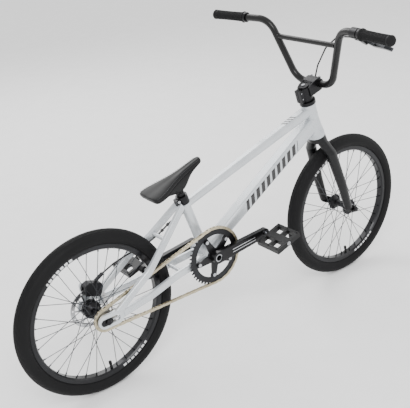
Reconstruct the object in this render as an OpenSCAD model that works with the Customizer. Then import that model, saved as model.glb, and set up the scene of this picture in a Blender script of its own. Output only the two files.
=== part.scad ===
// Aluminium BMX race bike with 20 inch wheels, one gear and a rear disc brake.
// X runs forward, Y to the rider's left and Z up. The origin is on the ground,
// midway between the two wheel axles. All sizes are in millimetres.

/* [Overall] */
// Distance between the two wheel axles
wheelbase = 982; // [965:1:1000]
// Height of the crank axle above the ground
bb_height = 297; // [288:1:304]
// Angle of the head tube from the ground, degrees
head_angle = 74; // [73:0.5:75]
// Angle of the seat tube from the ground, degrees
seat_angle = 72.3; // [71:0.1:73.5]
// Forward offset of the front axle from the steering axis
fork_offset = 31; // [27:1:35]

/* [Wheels] */
// Outer diameter of both tyres
tyre_od = 497; // [492:1:502]
// Width of both tyres
tyre_w = 45; // [42:1:47]
// Thickness of the tyre casing
tyre_wall = 2.6; // [2.2:0.1:3.2]
// Bead seat diameter of both rims
bead_d = 406; // [405:0.5:407]
// Outer width of both rims
rim_w = 27; // [26:0.5:29]
// Radial depth of the rims below the bead seat
rim_depth = 9.6; // [8.5:0.1:12]
// Spokes in each wheel, a multiple of 4
spoke_n = 36; // [28:4:36]
// Diameter of a spoke
spoke_d = 2; // [1.8:0.1:2.2]
// Diameter of both wheel axles
axle_d = 10; // [9.5:0.5:11]
// Width between the fork dropouts
front_old = 100; // [99:1:102]
// Width between the frame dropouts
rear_old = 110; // [109:1:112]

/* [Frame] */
// Height of the lower end of the head tube along the steering axis
head_tube_low = 303; // [300:1:308]
// Length of the head tube
head_tube_l = 121; // [116:1:126]
// Diameter of the head tube at its top
head_tube_top_d = 47; // [46:0.5:50]
// Diameter of the head tube at its lower end
head_tube_low_d = 57; // [56:0.5:60]
// Outer diameter of the seat tube
seat_tube_d = 30; // [29:0.5:32]
// Length of the seat tube from the crank axle
seat_tube_l = 193; // [188:1:200]
// Width of the top tube
top_tube_w = 31; // [28:1:34]
// Height of the top tube at the seat tube
top_tube_h = 21; // [18:1:24]
// Width of the down tube
down_tube_w = 43; // [40:1:46]
// Height of the down tube at the head tube
down_tube_h = 49; // [44:1:52]
// Wall of the main tubes
tube_wall = 2; // [1.6:0.1:2.6]
// Width of the chainstays and seatstays
stay_w = 14; // [12:0.5:15]
// Height of the chainstays
chainstay_h = 23; // [20:1:26]
// Height of the seatstays
seatstay_h = 21; // [18:1:24]
// Thickness of the frame dropouts
dropout_t = 7; // [6:0.5:8]
// Outer diameter of the bottom bracket shell
bb_shell_d = 46; // [45:0.5:50]
// Width of the bottom bracket shell
bb_shell_w = 86; // [84:0.5:87]

/* [Drivetrain] */
// Teeth on the chainring
ring_teeth = 44; // [42:1:45]
// Teeth on the rear cog
cog_teeth = 16; // [15:1:17]
// Links in the chain, an even number
chain_links = 92; // [90:2:94]
// Distance of the chain from the middle of the bike
chainline = 47; // [46.5:0.1:48]
// Length of the crank arms between centres
crank_l = 175; // [165:2.5:180]
// Angle of the right crank above the horizontal, degrees
crank_angle = 8; // [0:1:15]
// Diameter of the crank spindle
spindle_d = 24; // [22:0.5:25]
// Length of a pedal platform across the bike
pedal_w = 92; // [85:1:100]
// Length of a pedal platform along the foot
pedal_l = 94; // [88:1:102]
// Thickness of a pedal platform
pedal_t = 15; // [14:0.5:18]

/* [Steering] */
// Outer diameter of the fork steerer
steerer_d = 28.6; // [28:0.1:29]
// Diameter of the lower bearing seat on the fork
crown_race_d = 39.8; // [39:0.1:40.5]
// Height of the bar clamp centre along the steering axis
clamp_height = 473; // [471:1:476]
// Forward reach of the stem
stem_reach = 46; // [44:1:52]
// Diameter of the handlebar tube
bar_d = 22.2; // [21.8:0.1:22.6]
// Rise of the handlebar
bar_rise = 193; // [185:1:205]
// Half width of the handlebar between its lower bends
bar_low_half = 76; // [72:1:80]
// Half width of the handlebar between its upper bends
bar_top_half = 151.5; // [146:0.5:156]
// Length of each straight bar end from its bend centre
bar_end_l = 222; // [216:1:230]
// Backward sweep of the bar ends, degrees
bar_sweep = 9.7; // [8:0.1:11]
// Upward sweep of the bar ends, degrees
bar_upsweep = 2.7; // [1:0.1:3.5]
// Length of the rubber grips
grip_l = 122; // [115:1:124]
// Diameter of the rubber grips
grip_d = 30; // [28:0.5:32]

/* [Seat] */
// Diameter of the seatpost
post_d = 25.4; // [25:0.1:26]
// Upward tilt of the saddle nose, degrees
saddle_tilt = 19; // [12:1:24]
// Length of the saddle
saddle_l = 202; // [190:1:215]
// Width of the saddle at its tail
saddle_w = 104; // [96:1:125]

/* [Brake] */
// Diameter of the brake rotor
rotor_d = 120; // [116:1:124]
// Thickness of the brake rotor
rotor_t = 1.8; // [1.6:0.1:2]
// Diameter of the brake hose
hose_d = 5; // [4.5:0.1:5.5]

/* [Hidden] */
$fn = 48;

// Clearances
fit = 0.05;          // running or sliding fit, on the radius
weld = 0.02;         // joint line between two welded or clamped pieces
gap = 0.5;           // open gap between pieces that must not touch
lap = 1;             // how far a straight tube runs on into its bend
bend_swell = 0.1;               // how much fatter a bend is than the straight parts it joins
eps = 1;             // how far a cut runs past the face it opens

// Wheel places
axle_z = tyre_od / 2;
rear_x = -wheelbase / 2;
front_x = wheelbase / 2;

// Chain: the centre distance is the one at which the links close exactly
pitch = 12.7;
ring_r = pitch / 2 / sin(180 / ring_teeth);
cog_r = pitch / 2 / sin(180 / cog_teeth);
function wrap_tilt(c) = asin((ring_r - cog_r) / c);
function links_for(c) = (180 + 2 * wrap_tilt(c)) / 360 * ring_teeth
    + (180 - 2 * wrap_tilt(c)) / 360 * cog_teeth
    + 2 * c * cos(wrap_tilt(c)) / pitch;
function closing(c, tries) =
    tries == 0 ? c : closing(c + (chain_links - links_for(c)) * pitch / 2, tries - 1);
chain_c = closing(chain_links * pitch / 3, 12);
bb_z = bb_height;
bb_x = rear_x + sqrt(chain_c * chain_c - (bb_z - axle_z) * (bb_z - axle_z));

// Steering axis, measured from the foot of the axle's perpendicular
steer_x = front_x - fork_offset * sin(head_angle);
steer_z = axle_z - fork_offset * cos(head_angle);
head_tube_top = head_tube_low + head_tube_l;
function steer_pt(fwd, up) = [
    steer_x + fwd * sin(head_angle) - up * cos(head_angle), 0,
    steer_z + fwd * cos(head_angle) + up * sin(head_angle)
];
function seat_pt(s) = [bb_x - s * cos(seat_angle), 0, bb_z + s * sin(seat_angle)];

// Crank and pedal places
pedal_x = bb_x + crank_l * cos(crank_angle);
pedal_z = bb_z + crank_l * sin(crank_angle);
pedal_tilt = 17;
arm_t = 15;                      // thickness of a crank arm
arm_in = chainline + 8;          // inner face of the arms at the bottom bracket
eye_in = arm_in + 14;            // inner face of the arms at the pedal
pedal_in = eye_in + arm_t + 12;  // inner edge of the pedals
pedal_axle_r = 4.5;
ring_t = 2.8;                    // thickness of chainring and cog teeth

tooth_tip = 1.2;                 // half width of a tooth tip
tooth_h = 3.4;                   // height of a tooth above the roller centres
seat_r = 4.1;                    // radius of a roller seat
roller_r = 3.875;
pin_r = 1.8;
ring_bolt_r = 60;                // place of the chainring bolts
spindle_bore_r = 9;

// Wheel details
rim_seat = rim_w / 2 - 1.6;      // half width between the rim flanges
rim_in = rim_seat - 0.1;         // half width of the tyre's beads
tyre_c = tyre_od / 2 - tyre_w / 2;
bead_r = bead_d / 2;
flange_h = 5.5;
rim_wall = 1.6;
rim_in_r = bead_r - rim_depth;
spoke_cross = 3;
hub_hole_r = 24;
hub_flange_r = 26.6;
hub_flange_t = 3;
flange_bevel = 1.1;             // fall of a flange's outer face from its spoke holes to its rim
flange_root_r = hub_hole_r - 2.5;
head_out = 4.7;                  // spoke head line outside its flange
nipple_d = 4;
bearing_r = 13;
bearing_w = 8;
front_flange = 34;               // distance of the front hub flanges from centre
rear_flange_left = 26;
rear_flange_right = 32;
rotor_y = 43;
hub_end_front = front_old / 2 - 5.5;
hub_end_left = rotor_y + 1.6;
hub_end_right = chainline - 6.5;
valve_angle = -90 + 180 / spoke_n;   // midway between two spokes
barrel_r = 11;
hub_end_r = 15;

// Bar places, in the plane that leans 3.6 degrees forward of the steering axis
bar_lean = 3.64;
bar_bend_r = 62;
bar_low_bend_r = 55;
crossbar_at = 0.727;             // height of the crossbar as a share of the rise
crossbar_d = 16;
bar_wall = 2;
grip_start = bar_end_l - grip_l;
clamp_w = 48;
lever_at = grip_start - 30;      // place of the lever clamp along the bar end

lever_drop = -52;                // turn of the lever about the bar, below straight ahead
pivot = [40, 0, 80];             // lever pivot, from the upper bend along the bar

// Frame places
bb_bore_r = 20.5;
head_bore_r = 17;
top_bearing_r = 20.9;
low_bearing_r = 26;
bearing_seat = 7;
tube_corner = 9;
stay_corner = 5;
top_tube_rear = 180;             // place of the top tube along the seat tube
top_tube_front = 402;            // places of the tubes along the steering axis
down_tube_front = 358;
seatstay_join = 186;
bridge_r = 6;
dropout_r = 21;
slot_r = 10;
m5_r = 2.5;
m6_r = 3;

// Seat places
collar_r = 18;
collar_low = seat_tube_l - 4;
collar_h = 26;
post_top = seat_tube_l + 34;

// Brake places
rotor_r = rotor_d / 2;
pad_t = 3.3;
pad_gap = 0.5;
caliper_angle = 70;              // round the rear axle, from straight ahead
caliper_bolts = [[-1, 66], [10, 44]];   // from the rear axle
piston = [6, rotor_r - 8];       // from the rear axle, in the caliper's own frame
piston_r = 7;
piston_l = 4;
rotor_spigot_r = 17;
rotor_bolt_r = 22;

// ---------------------------------------------------------------- helpers

function unit(v) = v / norm(v);
function turn(a, b) = acos(max(-1, min(1, a * b)));

// Lays a shape that was drawn along Z along Y
module along_y() rotate([-90, 0, 0]) children();

// Moves a shape to the steering axis, Z up the steerer and X forward
module steering_frame() translate([steer_x, 0, steer_z]) rotate([0, head_angle - 90, 0]) children();

// Moves a shape to the handlebar plane at the bar clamp
module bar_frame()
    steering_frame() translate([stem_reach, 0, clamp_height]) rotate([0, bar_lean, 0]) children();

// Moves a shape to a bar end: Z outward along the bar, X forward
module bar_end_frame(side)
    bar_frame() translate([0, side * bar_top_half, bar_rise])
        rotate([0, 0, side * bar_sweep]) rotate([side * bar_upsweep, 0, 0])
            rotate([-side * 90, 0, 0]) children();

// Moves a shape to the seat tube: Z up the tube
module seat_frame() translate([bb_x, 0, bb_z]) rotate([0, seat_angle - 90, 0]) children();

module front_wheel_place() translate([front_x, 0, axle_z]) children();
module rear_wheel_place() translate([rear_x, 0, axle_z]) children();

// Moves a shape to the crank axle, X along the right crank
module crank_place() translate([bb_x, 0, bb_z]) rotate([0, -crank_angle, 0]) children();

module ring(r_out, r_in, h) difference() {
    cylinder(r = r_out, h = h);
    translate([0, 0, -eps]) cylinder(r = r_in, h = h + 2 * eps);
}

// Round bar between two points
module rod(p, q, r) {
    v = q - p;
    translate(p) rotate([0, acos(v[2] / norm(v)), atan2(v[1], v[0])]) cylinder(r = r, h = norm(v));
}

// One arc of a bent round bar at corner p, from direction a to direction b
module bend(p, a, b, bend_r, r) {
    back = bend_r * tan(turn(a, b) / 2);
    inward = unit(b - (a * b) * a);
    c = p - a * back + inward * bend_r;
    x = -inward;
    z = cross(x, a);
    multmatrix([[x[0], a[0], z[0], c[0]], [x[1], a[1], z[1], c[1]], [x[2], a[2], z[2], c[2]], [0, 0, 0, 1]])
        rotate_extrude(angle = turn(a, b)) translate([bend_r, 0]) circle(r = r);
}

// Round bar along a list of corners, each one rounded to its own bend radius
module pipe(points, bend_rs, r) {
    last = len(points) - 1;
    dirs = [for (i = [0:last - 1]) unit(points[i + 1] - points[i])];
    back = [for (i = [0:last]) i == 0 || i == last ? 0 : bend_rs[i - 1] * tan(turn(dirs[i - 1], dirs[i]) / 2)];
    for (i = [0:last - 1])
        rod(points[i] + dirs[i] * (back[i] - (i > 0 ? lap : 0)),
            points[i + 1] - dirs[i] * (back[i + 1] - (i < last - 1 ? lap : 0)), r);
    for (i = [1:last - 1])
        bend(points[i], dirs[i - 1], dirs[i], bend_rs[i - 1], r + bend_swell);
}

// Outline of a bar that tapers between two round ends
module taper_outline(l, r1, r2) {
    a = acos((r1 - r2) / l);
    circle(r = r1);
    translate([l, 0]) circle(r = r2);
    p = (r1 - weld) * [cos(a), sin(a)];
    q = (r2 - weld) * [cos(a), sin(a)] + [l, 0];
    polygon([p, q, [q[0], -q[1]], [p[0], -p[1]]]);
}

module stadium(l, r) {
    circle(r = r);
    translate([l, 0]) circle(r = r);
    translate([0, -r]) square([l, 2 * r]);
}

// Thin rounded slice of a tube, h tall and w wide, to be joined by hull
module slice(h, w, corner) linear_extrude(0.4) for (i = [-1, 1], k = [-1, 1])
    translate([i * (h / 2 - corner), k * (w / 2 - corner)]) circle(r = corner, $fn = 24);

// Puts a slice at a point of the XZ plane, square to a direction
module slice_at(p, elevation) translate(p) rotate([0, 90 - elevation, 0]) children();

// Outline of a toothed sprocket: five points round each roller seat, two on each tooth tip
function sprocket(teeth, r, seat_r, tip_r) = [
    for (i = [0:teeth - 1])
        for (k = [0:6]) let (mid = i * 360 / teeth, half = 180 / teeth, tip = asin(tooth_tip / tip_r))
            k < 5 ? [r * cos(mid) + seat_r * cos(mid - 110 - 35 * k), r * sin(mid) + seat_r * sin(mid - 110 - 35 * k)]
                  : [tip_r * cos(mid + half + (2 * k - 11) * tip), tip_r * sin(mid + half + (2 * k - 11) * tip)]
];

// Plate drawn in the XZ plane, from y0 to y1
module xz_plate(y0, y1) translate([0, y1, 0]) rotate([90, 0, 0]) linear_extrude(y1 - y0) children();

// Turns a steering or bar coordinate by degrees about one axis
function rot_x(v, a) = [v[0], v[1] * cos(a) - v[2] * sin(a), v[1] * sin(a) + v[2] * cos(a)];
function rot_y(v, a) = [v[0] * cos(a) + v[2] * sin(a), v[1], -v[0] * sin(a) + v[2] * cos(a)];
function rot_z(v, a) = [v[0] * cos(a) - v[1] * sin(a), v[0] * sin(a) + v[1] * cos(a), v[2]];

// Place of a brake lever point, as a steering frame point
function lever_pt(v) = [stem_reach, 0, clamp_height] + rot_y([0, -bar_top_half, bar_rise]
    + rot_z(rot_x(rot_x(rot_z(v, lever_drop), 90), -bar_upsweep), -bar_sweep), bar_lean);

// ------------------------------------------------------------- main frame

module head_tube_outer(grow = 0) {
    r_top = head_tube_top_d / 2 + grow;
    r_low = head_tube_low_d / 2 + grow;
    steering_frame() translate([0, 0, head_tube_low]) rotate_extrude()
        polygon([[0, 0], [r_low, 0], [r_low, 13], [r_low - 3.5, 34], [r_top - 1, 66],
                 [r_top - 1, head_tube_l - 16], [r_top, head_tube_l - 10], [r_top, head_tube_l], [0, head_tube_l]]);
}

module head_tube() color("gainsboro") difference() {
    head_tube_outer();
    steering_frame() translate([0, 0, head_tube_low]) {
        translate([0, 0, -eps]) cylinder(r = head_bore_r, h = head_tube_l + 2 * eps);
        translate([0, 0, -eps]) cylinder(r = low_bearing_r, h = bearing_seat + eps);
        translate([0, 0, head_tube_l - bearing_seat]) cylinder(r = top_bearing_r, h = bearing_seat + eps);
    }
}

module seat_tube_outer(grow = 0) seat_frame() cylinder(r = seat_tube_d / 2 + grow, h = seat_tube_l);

module bb_shell_outer(grow = 0)
    translate([bb_x, -bb_shell_w / 2, bb_z]) along_y() cylinder(r = bb_shell_d / 2 + grow, h = bb_shell_w);

module seat_tube() color("gainsboro") difference() {
    seat_tube_outer();
    seat_frame() cylinder(r = post_d / 2 + fit, h = seat_tube_l + eps);
    bb_shell_outer(weld);
}

module bottom_bracket_shell() color("gainsboro") difference() {
    bb_shell_outer();
    translate([bb_x, -bb_shell_w / 2 - eps, bb_z]) along_y() cylinder(r = bb_bore_r, h = bb_shell_w + 2 * eps);
}

// Tapered tube between two points of the XZ plane; shrink takes a wall off all round
module frame_tube(p, q, h1, w1, h2, w2, shrink) {
    rise = atan2(q[2] - p[2], q[0] - p[0]);
    hull() {
        slice_at(p, rise) slice(h1 - 2 * shrink, w1 - 2 * shrink, tube_corner - shrink);
        slice_at(q, rise) slice(h2 - 2 * shrink, w2 - 2 * shrink, tube_corner - shrink);
    }
}

module top_tube_shape(shrink) frame_tube(seat_pt(top_tube_rear), steer_pt(0, top_tube_front),
    top_tube_h, seat_tube_d - 3, top_tube_h + 9, top_tube_w + 4, shrink);

module down_tube_shape(shrink) frame_tube([bb_x, 0, bb_z], steer_pt(0, down_tube_front),
    down_tube_h - 15, down_tube_w, down_tube_h, down_tube_w, shrink);

module top_tube() color("gainsboro") difference() {
    top_tube_shape(0);
    top_tube_shape(tube_wall);
    head_tube_outer(weld);
    seat_tube_outer(weld);
    collar_outer(fit);
}

module down_tube() color("whitesmoke") difference() {
    down_tube_shape(0);
    down_tube_shape(tube_wall);
    head_tube_outer(weld);
    bb_shell_outer(weld);
    seat_tube_outer(weld);
    top_tube_shape(-weld);
}

// Stay through points, each slice square to the straight line between its ends
module stay(points, h, side) {
    for (i = [0:len(points) - 2]) stay_part(points, i, h, stay_w, side);
}

module stay_part(points, i, h, w, side) {
    final = points[len(points) - 1];
    rise = atan2(points[0][2] - final[2], points[0][0] - final[0]);
    hull() for (p = [points[i], points[i + 1]])
        slice_at([p[0], side * p[1], p[2]], rise) slice(h, w, stay_corner);
}

chainstay_path = [
    [bb_x - 18, 27, bb_z - 5], [rear_x + 246, 37, axle_z + 29],
    [rear_x + 150, 50, axle_z + 13], [rear_x + 34, 59, axle_z + 2.5]
];
seatstay_path = [
    seat_pt(seatstay_join) + [-16, 12, 0], [rear_x + 224, 35, axle_z + 148],
    [rear_x + 150, 59.5, axle_z + 95], [rear_x + 25, 59.5, axle_z + 9]
];

// Outline of a dropout, before its slot is cut
module dropout_outline(grow = 0) translate([rear_x - 8, axle_z + 1.5]) stadium(40, dropout_r + grow);

module stay_ends_cut() for (side = [-1, 1])
    xz_plate(side * rear_old / 2 - 20, side * rear_old / 2 + 20) dropout_outline(weld);

module chainstays() color("gainsboro") difference() {
    union() {
        for (side = [-1, 1]) stay(chainstay_path, chainstay_h, side);
        bridge(chainstay_path, chainstay_h, rear_x + 274);
    }
    bb_shell_outer(weld);
    stay_ends_cut();
}

module seatstays() color("gainsboro") difference() {
    union() {
        for (side = [-1, 1]) stay(seatstay_path, seatstay_h, side);
        bridge(seatstay_path, seatstay_h, rear_x + 231);
    }
    seat_tube_outer(weld);
    stay_ends_cut();
    collar_outer(fit);
    for (side = [-1, 1]) stay_part(chainstay_path, 2, chainstay_h + 2 * weld, stay_w + 2 * weld, side);
    collar_bolt_places() cylinder(r = 2 * m5_r, h = 30, center = true);
}

// Height of a stay's middle at a place along the bike, and its distance from the middle
function along(path, i, x) = (x - path[i][0]) / (path[i + 1][0] - path[i][0]);
function on_stay(path, i, x, axis) = path[i][axis] + along(path, i, x) * (path[i + 1][axis] - path[i][axis]);

// Cross tube between the two stays, at a place along the bike, mitred to their inner faces
module bridge(path, h, x) difference() {
    rod([x, -on_stay(path, 0, x, 1), on_stay(path, 0, x, 2)],
        [x, on_stay(path, 0, x, 1), on_stay(path, 0, x, 2)], bridge_r);
    for (side = [-1, 1]) stay_part(path, 0, h + 2 * weld, stay_w + 2 * weld, side);
}

module axle_slot() translate([rear_x - 12, axle_z]) stadium(41, slot_r);

module dropout_right() color("gainsboro") xz_plate(-rear_old / 2 - dropout_t, -rear_old / 2) difference() {
    dropout_outline();
    axle_slot();
}

// The left dropout carries the tab that the brake caliper bolts to
module dropout_left() color("gainsboro") difference() {
    xz_plate(rear_old / 2, rear_old / 2 + dropout_t) difference() {
        union() {
            dropout_outline();
            translate([rear_x + 3, axle_z + 12]) rotate(95) stadium(53, 12);
        }
        axle_slot();
    }
    caliper_bolt_places() translate([0, 0, -eps]) cylinder(r = m6_r + fit, h = dropout_t + 2 * eps);
}

// Runs a shape out through the left dropout at both caliper bolts
module caliper_bolt_places() for (p = caliper_bolts)
    translate([rear_x + p[0], rear_old / 2, axle_z + p[1]]) along_y() children();

// Outside of the seat collar, with the ear that its bolts close
module collar_outer(grow = 0) seat_frame() translate([0, 0, collar_low]) {
    translate([0, 0, -grow]) cylinder(r = collar_r + grow, h = collar_h + 2 * grow);
    translate([-collar_r - 7 - grow, -9 - grow, 2 - grow]) cube([14 + grow, 18 + 2 * grow, collar_h - 4 + 2 * grow]);
}

module seat_collar() color("black") difference() {
    collar_outer();
    seat_tube_outer(weld);
    seat_frame() cylinder(r = post_d / 2 + fit, h = collar_low + collar_h + eps);
    seat_frame() translate([-collar_r - 8, -0.8, collar_low - eps]) cube([collar_r, 1.6, collar_h + 2 * eps]);
    collar_bolt_places() cylinder(r = m5_r + fit, h = 40, center = true);
}

module collar_bolt_places() seat_frame() for (s = [8, 18])
    translate([-collar_r - 1.5, 0, collar_low + s]) along_y() children();

module cap_screw(r, l) {
    cylinder(r = r, h = l);
    translate([0, 0, l]) cylinder(r = 1.7 * r, h = 1.6 * r);
}

module frame_bolts() color("silver") {
    collar_bolt_places() rotate([180, 0, 0]) translate([0, 0, -8]) cap_screw(m5_r, 17 + weld);
    caliper_bolt_places() translate([0, 0, -6]) cap_screw(m6_r, dropout_t + 6 + weld);
    for (side = [-1, 1])
        rod([rear_x + 15.4, side * (rear_old / 2 + 3.5), axle_z], [rear_x + 28.8 + slot_r, side * (rear_old / 2 + 3.5), axle_z], m5_r);
}

module headset_bearings() color("dimgray") steering_frame() {
    translate([0, 0, head_tube_low + 0.3])
        ring(low_bearing_r - weld, crown_race_d / 2 + fit, bearing_seat - 0.3 - weld);
    translate([0, 0, head_tube_top - bearing_seat + weld])
        ring(top_bearing_r - weld, steerer_d / 2 + fit, bearing_seat - 0.3);
}

module bottom_bracket_cups() color("dimgray") translate([bb_x, 0, bb_z]) for (side = [-1, 1])
    scale([1, side, 1]) along_y() rotate_extrude()
        polygon([[spindle_d / 2 + fit, bb_shell_w / 2 - 8], [bb_bore_r - weld, bb_shell_w / 2 - 8],
                 [bb_bore_r - weld, bb_shell_w / 2 + weld], [bb_shell_d / 2, bb_shell_w / 2 + weld],
                 [bb_shell_d / 2, bb_shell_w / 2 + 1.5], [spindle_d / 2 + fit, bb_shell_w / 2 + 1.5]]);

module axle_adjusters() color("black") for (side = [-1, 1]) difference() {
    scale([1, side, 1]) xz_plate(rear_old / 2 + 0.3, rear_old / 2 + dropout_t + 1.5)
        translate([rear_x - 12, axle_z]) stadium(17, slot_r - 0.1);
    translate([rear_x, side * rear_old / 2, axle_z]) along_y() cylinder(r = axle_d / 2 + fit, h = 40, center = true);
}

module rear_axle() color("black") rear_wheel_place() along_y() {
    r = axle_d / 2;
    out = rear_old / 2 + dropout_t + 1.5 + weld;
    rotate_extrude() polygon([
        [0, -out - 6], [6, -out - 6], [8.5, -out - 4], [8.5, -out], [r, -out], [r, -rear_old / 2 - weld],
        [8, -rear_old / 2 - weld], [8, -hub_end_right - 13.4], [r, -hub_end_right - 13.4],
        [r, hub_end_left + gap], [8, hub_end_left + gap], [8, rear_old / 2 - weld], [r, rear_old / 2 - weld],
        [r, out], [8.5, out], [8.5, out + 4], [6, out + 6], [0, out + 6]
    ]);
}

// ------------------------------------------------------------------ chain

wrap = wrap_tilt(chain_c);
run_angle = atan2(bb_z - axle_z, bb_x - rear_x);
run_l = chain_c * cos(wrap);
ring_start = run_angle + 90 + wrap;            // where the top run leaves the chainring
cog_first = ceil(run_l / pitch) - run_l / pitch;   // first joint past the top run, in links
ring_wrap = (180 + 2 * wrap) / 360 * ring_teeth;
cog_wrap = (180 - 2 * wrap) / 360 * cog_teeth;

// Place of the chain at k links from the top of the chainring, round the cog and back
function on_circle(c, r, a) = [c[0] + r * cos(a), c[1] + r * sin(a)];
function chain_pt(k) =
    let (top_end = run_l / pitch, cog_end = top_end + cog_wrap, low_end = cog_end + run_l / pitch)
    k <= top_end ? on_circle([bb_x, bb_z], ring_r, ring_start)
                   + pitch * k * [cos(run_angle + wrap + 180), sin(run_angle + wrap + 180)]
    : k <= cog_end ? on_circle([rear_x, axle_z], cog_r, ring_start + (k - top_end) * 360 / cog_teeth)
    : k <= low_end ? on_circle([rear_x, axle_z], cog_r, run_angle - 90 - wrap)
                     + pitch * (k - cog_end) * [cos(run_angle - wrap), sin(run_angle - wrap)]
    : on_circle([bb_x, bb_z], ring_r, run_angle - 90 - wrap + (k - low_end) * 360 / ring_teeth);

module chain_plates(l, r, inner, outer) for (side = [-1, 1])
    translate([0, 0, side * (inner + outer) / 2 - (outer - inner) / 2]) linear_extrude(outer - inner) stadium(l, r);

module inner_link(l) difference() {
    union() {
        chain_plates(l, 4, 1.65, 2.65);
        for (x = [0, l]) translate([x, 0, -1.7]) cylinder(r = roller_r, h = 3.4, $fn = 32);
    }
    for (x = [0, l]) translate([x, 0, -5]) cylinder(r = pin_r + 0.1, h = 10, $fn = 32);
}

module outer_link(l) {
    chain_plates(l, 3.9, 2.75, 3.65);
    for (x = [0, l]) translate([x, 0, -4.1]) cylinder(r = pin_r, h = 8.2, $fn = 32);
}

module chain() color("tan") for (k = [0:chain_links - 1]) {
    p = chain_pt(k);
    q = chain_pt(k + 1);
    l = norm(q - p);
    translate([p[0], -chainline, p[1]]) rotate([0, -atan2(q[1] - p[1], q[0] - p[0]), 0]) rotate([90, 0, 0])
        if (k % 2 == 0) inner_link(l); else outer_link(l);
}

// ------------------------------------------------------------------ brake

// Moves a shape to the caliper: Z outward from the axle, X round the rotor, Y across
module caliper_frame() rear_wheel_place() rotate([0, 90 - caliper_angle, 0]) children();

pad_out = rotor_t / 2 + pad_gap + pad_t;       // back of each pad from the rotor's middle
hose_start = [rear_x + 57, rotor_y, axle_z + 88];

module brake_caliper() color("black") difference() {
    union() {
        caliper_frame() translate([0, rear_old / 2 - weld, 0]) rotate([90, 0, 0])
            linear_extrude(rear_old / 2 - weld - rotor_y + 11) polygon([
                [-24, 38], [20, 38], [26, 46], [26, 70], [18, 78], [-20, 78], [-32, 68], [-32, 50]
            ]);
        rod(hose_start - [26, 0, 14], hose_start, 5.5);
    }
    caliper_frame() translate([-40, rotor_y - pad_out - 0.3, 0]) cube([80, 2 * pad_out + 0.6, rotor_r + 3]);
    caliper_frame() translate([piston[0], rotor_y - pad_out - piston_l - 0.5, piston[1]]) along_y()
        cylinder(r = piston_r + fit, h = 2 * (pad_out + piston_l + 0.5));
    caliper_bolt_places() translate([0, 0, -6.5]) cylinder(r = m6_r + fit, h = 8);
}

// Brake pad and the piston behind it; side is 1 for the outer pad
module brake_pad(side) caliper_frame() {
    y_near = rotor_y + side * (rotor_t / 2 + pad_gap);
    y_back = rotor_y + side * (pad_out + piston_l);
    translate([piston[0] - 13, min(y_near, y_near + side * pad_t), rotor_r - 15]) cube([26, pad_t, 14]);
    translate([piston[0], min(y_back, y_near + side), piston[1]]) along_y()
        cylinder(r = piston_r, h = piston_l + pad_t - 1);
}

module brake_pad_left() color("saddlebrown") brake_pad(1);
module brake_pad_right() color("saddlebrown") brake_pad(-1);

module brake_rotor() color("silver") rear_wheel_place() translate([0, rotor_y - rotor_t / 2, 0]) along_y()
    linear_extrude(rotor_t) difference() {
        union() {
            difference() {
                circle(r = rotor_r, $fn = 96);
                circle(r = rotor_r - 13, $fn = 96);
            }
            circle(r = rotor_bolt_r + 5);
            for (i = [0:5]) rotate(i * 60) translate([rotor_bolt_r - 2, -3]) rotate(14) square([29, 5]);
        }
        circle(r = rotor_spigot_r + weld);
        rotor_bolt_circle() circle(r = m5_r + fit);
        for (i = [0:11]) rotate(i * 30 + 10) translate([rotor_r - 7, 0]) circle(r = 2.6);
    }

module rotor_bolt_circle() for (i = [0:5]) rotate(i * 60) translate([rotor_bolt_r, 0]) children();

module rotor_bolts() color("silver")
    rear_wheel_place() translate([0, rotor_y + rotor_t / 2 + weld, 0]) along_y() rotor_bolt_circle() {
        translate([0, 0, -9]) cylinder(r = m5_r, h = 9);
        cylinder(r = 4.5, h = 2.4);
    }

// Point on the back of the seat tube, out from its axis and s along it
function behind_seat_tube(out, y, s) = seat_pt(s) + [-out * sin(seat_angle), y, -out * cos(seat_angle)];
hose_path = [
    hose_start, [rear_x + 96, rotor_y, axle_z + 103.5], [rear_x + 140, 41, axle_z + 114.5],
    [rear_x + 186, 31.5, axle_z + 124.5], [rear_x + 221, 25, axle_z + 138.5], [rear_x + 246, 23, axle_z + 149.5],
    [rear_x + 269, 20, axle_z + 164], [rear_x + 285, 17, axle_z + 175.5],
    behind_seat_tube(seat_tube_d / 2 + 0.3, 4, 158)
];

module brake_hose_rear() color("black") pipe(hose_path, [60, 90, 60, 60, 60, 60, 60], hose_d / 2);

module hose_clips() color("black") difference() {
    for (i = [5, 6]) hose_clip(i, hose_d / 2 + 2, 4);
    for (i = [5, 6]) hose_clip(i, hose_d / 2 + bend_swell + weld, 5);
    for (i = [0, 1]) stay_part(seatstay_path, i, seatstay_h + 2 * weld, stay_w + 2 * weld, 1);
}

// Short sleeve along a straight part of the hose, reaching equally far from its middle
module hose_clip(i, r, reach) {
    mid = (hose_path[i] + hose_path[i + 1]) / 2;
    half = unit(hose_path[i + 1] - hose_path[i]) * reach;
    rod(mid - half, mid + half, r);
}

// ------------------------------------------------------------------- seat

module seatpost() color("black") difference() {
    seat_frame() translate([0, 0, collar_low - 100]) cylinder(r = post_d / 2, h = 100 + post_top - collar_low);
    seat_frame() translate([0, 0, collar_low - 100 - eps]) cylinder(r = post_d / 2 - 2.5, h = 90);
}

// Moves a shape to the middle of the saddle top, X toward the nose
saddle_mid = seat_pt(post_top) + [-16, 0, 52];
module saddle_frame() translate(saddle_mid) rotate([0, -saddle_tilt, 0]) children();

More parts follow.
